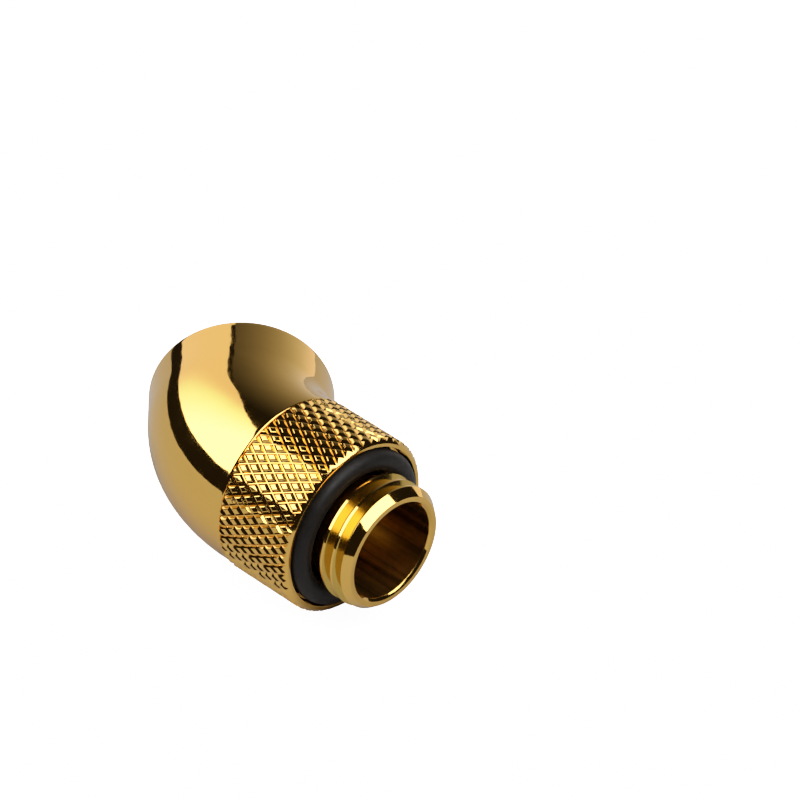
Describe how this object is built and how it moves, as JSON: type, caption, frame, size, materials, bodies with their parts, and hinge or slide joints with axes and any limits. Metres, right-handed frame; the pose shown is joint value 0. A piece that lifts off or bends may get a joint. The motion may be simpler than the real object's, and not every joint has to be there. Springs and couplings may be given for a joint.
{
  "type": "swivel elbow pipe fitting",
  "caption": "Polished 45 degree elbow for small coolant lines: male G1/4 thread under a knurled collar that swivels freely, female G1/4 port at the bent end, rubber face seal.",
  "frame": {"origin": "centre of the collar's front face, on the axis of the male thread", "axes": "+X along the male thread, out of its tip; the elbow bends in the XY plane towards +Y; +Z is square to the bend and up when the fitting lies on its side"},
  "size_m": [0.034, 0.0226, 0.0188],
  "materials": {
    "gold_plate": "mirror-polished gold plating over brass",
    "turned_brass": "bright as turned",
    "black_rubber": "matte moulded rubber",
    "spring_steel": "drawn wire",
    "white_plastic": "satin low-friction plastic"
  },
  "bodies": {
    "collar": {"threaded_collar": "gold_plate", "face_o_ring": "black_rubber"},
    "elbow": {"elbow_body": "gold_plate", "swivel_spigot": "turned_brass", "front_seal_ring": "black_rubber", "rear_seal_ring": "black_rubber", "retaining_ring": "spring_steel", "slip_washer": "white_plastic"}
  },
  "joints": [
    {"name": "swivel", "type": "hinge", "parent": "collar", "child": "elbow", "pos_m": [-0.009, 0, 0], "axis": [1, 0, 0], "continuous": true}
  ]
}
